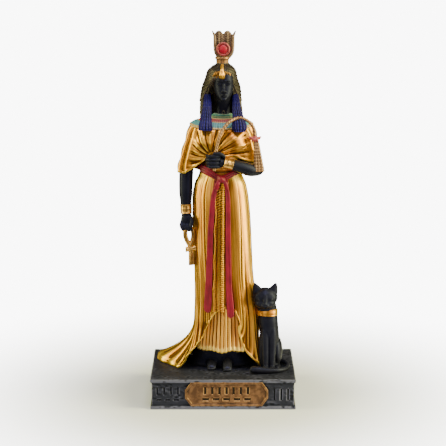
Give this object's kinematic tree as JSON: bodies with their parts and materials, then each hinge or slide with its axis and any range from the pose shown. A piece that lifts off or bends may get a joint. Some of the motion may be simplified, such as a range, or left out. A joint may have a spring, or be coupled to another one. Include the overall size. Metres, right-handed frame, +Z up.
{
  "type": "maat statue",
  "caption": "Standing goddess figurine in a gold gown with a long train, holding a flail and an ankh, beside a seated cat on a rectangular plinth.",
  "frame": {"origin": "centre of the plinth's underside, on the surface that the figurine stands on", "axes": "+Z up along the figure, -Y towards someone who faces the goddess, +X to that viewer's right, where the cat sits"},
  "size_m": [0.078, 0.061, 0.1997],
  "materials": {
    "plinth": "cast resin painted as dark rough stone, with grey dry-brushed edges and a bronze-coloured plate",
    "goddess": "cast resin in antique gold paint with a dark wash in the folds, with black skin, red sash and blue plaits",
    "cat": "cast resin in satin black paint with a gold collar"
  },
  "bodies": {
    "root": {"plinth": "plinth", "goddess": "goddess", "cat": "cat"}
  },
  "joints": []
}
